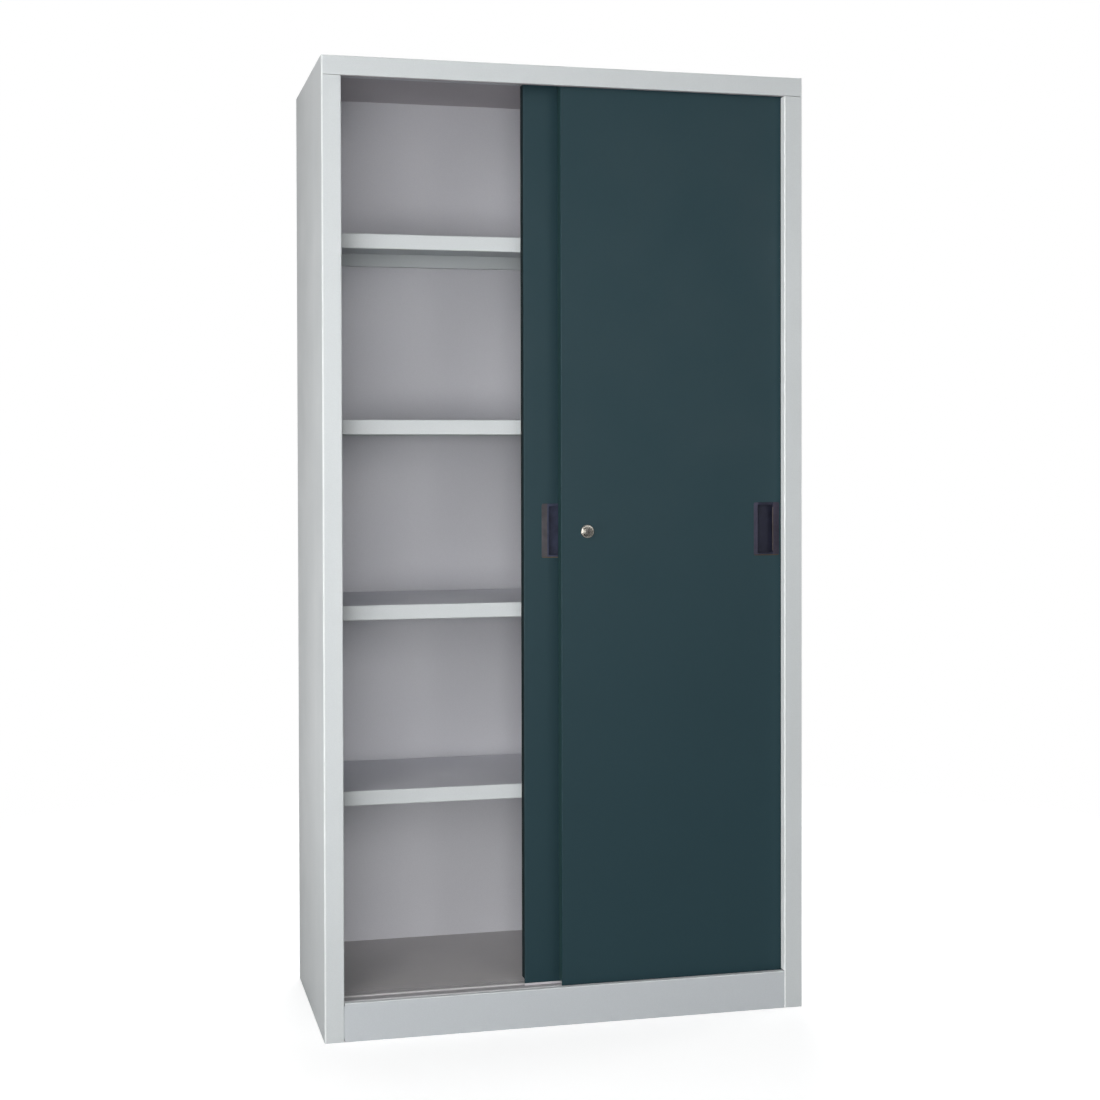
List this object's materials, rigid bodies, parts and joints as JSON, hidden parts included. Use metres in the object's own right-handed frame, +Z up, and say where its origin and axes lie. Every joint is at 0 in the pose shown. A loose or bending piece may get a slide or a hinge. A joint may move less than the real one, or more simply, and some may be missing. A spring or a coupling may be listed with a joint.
{
  "type": "sliding door cabinet",
  "caption": "Tall sheet-steel storage cabinet with bypassing sliding doors on rollers, height-adjustable shelves, recessed pulls and a push-cylinder lock",
  "frame": {"origin": "on the floor, under the middle of the cabinet's bounding box", "axes": "+X to the right as seen from the front, +Y to the rear, +Z up"},
  "size_m": [1, 0.47, 1.94],
  "materials": {
    "carcass_paint": "light grey powder coat with a fine orange peel, satin",
    "door_paint": "dark teal powder coat with a fine orange peel, satin",
    "track_metal": "extruded, matt silver",
    "zinc": "bright zinc plate",
    "steel": "bright drawn steel",
    "rivet": "plain",
    "nylon": "natural nylon",
    "pull_plastic": "black, fine grain",
    "rubber": "black",
    "lock_chrome": "bright",
    "lock_plug": "satin",
    "nut": "plain"
  },
  "bodies": {
    "carcass": {"left_side_panel": "carcass_paint", "right_side_panel": "carcass_paint", "top_panel": "carcass_paint", "back_panel": "carcass_paint", "back_rivets": "rivet", "plinth": "carcass_paint", "floor_panel": "carcass_paint", "left_floor_bracket": "carcass_paint", "right_floor_bracket": "carcass_paint", "bottom_track": "track_metal", "top_track": "zinc", "left_front_upright": "carcass_paint", "left_rear_upright": "carcass_paint", "right_front_upright": "carcass_paint", "right_rear_upright": "carcass_paint", "shelf_1": "carcass_paint", "shelf_2": "carcass_paint", "shelf_3": "carcass_paint", "shelf_4": "carcass_paint", "shelf_clips": "zinc", "door_bumpers": "rubber"},
    "rear_door": {"rear_door_panel": "door_paint", "rear_door_stiffener": "door_paint", "rear_pull": "pull_plastic", "rear_left_roller_bracket": "zinc", "rear_left_roller_axle": "steel", "rear_left_guide": "nylon", "rear_right_roller_bracket": "zinc", "rear_right_roller_axle": "steel", "rear_right_guide": "nylon", "lock_strike": "zinc"},
    "front_door": {"front_door_panel": "door_paint", "front_door_stiffener": "door_paint", "front_pull": "pull_plastic", "front_left_roller_bracket": "zinc", "front_left_roller_axle": "steel", "front_left_guide": "nylon", "front_right_roller_bracket": "zinc", "front_right_roller_axle": "steel", "front_right_guide": "nylon", "lock_housing": "lock_chrome", "lock_nut": "nut", "lock_spring": "steel"},
    "rear_left_roller": {"rear_left_roller": "nylon"},
    "rear_right_roller": {"rear_right_roller": "nylon"},
    "front_left_roller": {"front_left_roller": "nylon"},
    "front_right_roller": {"front_right_roller": "nylon"},
    "lock_plunger": {"lock_plunger": "lock_chrome"},
    "lock_plug": {"lock_plug": "lock_plug"}
  },
  "joints": [
    {"name": "rear_door_slide", "type": "slide", "parent": "carcass", "child": "rear_door", "axis": [-1, 0, 0], "range_m": [0, 0.412]},
    {"name": "front_door_slide", "type": "slide", "parent": "carcass", "child": "front_door", "axis": [-1, 0, 0], "range_m": [0, 0.482]},
    {"name": "rear_left_roller_spin", "type": "hinge", "parent": "rear_door", "child": "rear_left_roller", "pos_m": [-0.023, -0.1655, 0.0828], "axis": [0, 1, 0], "continuous": true},
    {"name": "rear_right_roller_spin", "type": "hinge", "parent": "rear_door", "child": "rear_right_roller", "pos_m": [0.435, -0.1655, 0.0828], "axis": [0, 1, 0], "continuous": true},
    {"name": "front_left_roller_spin", "type": "hinge", "parent": "front_door", "child": "front_left_roller", "pos_m": [0.047, -0.2005, 0.0828], "axis": [0, 1, 0], "continuous": true},
    {"name": "front_right_roller_spin", "type": "hinge", "parent": "front_door", "child": "front_right_roller", "pos_m": [0.435, -0.2005, 0.0828], "axis": [0, 1, 0], "continuous": true},
    {"name": "lock_push", "type": "slide", "parent": "front_door", "child": "lock_plunger", "axis": [0, 1, 0], "range_m": [0, 0.008], "stiffness_N_per_m": 400, "springref_m": -0.005, "deforming": ["lock_spring"]},
    {"name": "key_turn", "type": "hinge", "parent": "lock_plunger", "child": "lock_plug", "pos_m": [0.042, -0.213, 1.001], "axis": [0, 1, 0], "range_deg": [0, 90]}
  ],
  "couplings": [
    {"joint": "rear_left_roller_spin", "follows": "rear_door_slide", "rad_per_m": -90.909},
    {"joint": "rear_right_roller_spin", "follows": "rear_door_slide", "rad_per_m": -90.909},
    {"joint": "front_left_roller_spin", "follows": "front_door_slide", "rad_per_m": -90.909},
    {"joint": "front_right_roller_spin", "follows": "front_door_slide", "rad_per_m": -90.909}
  ]
}
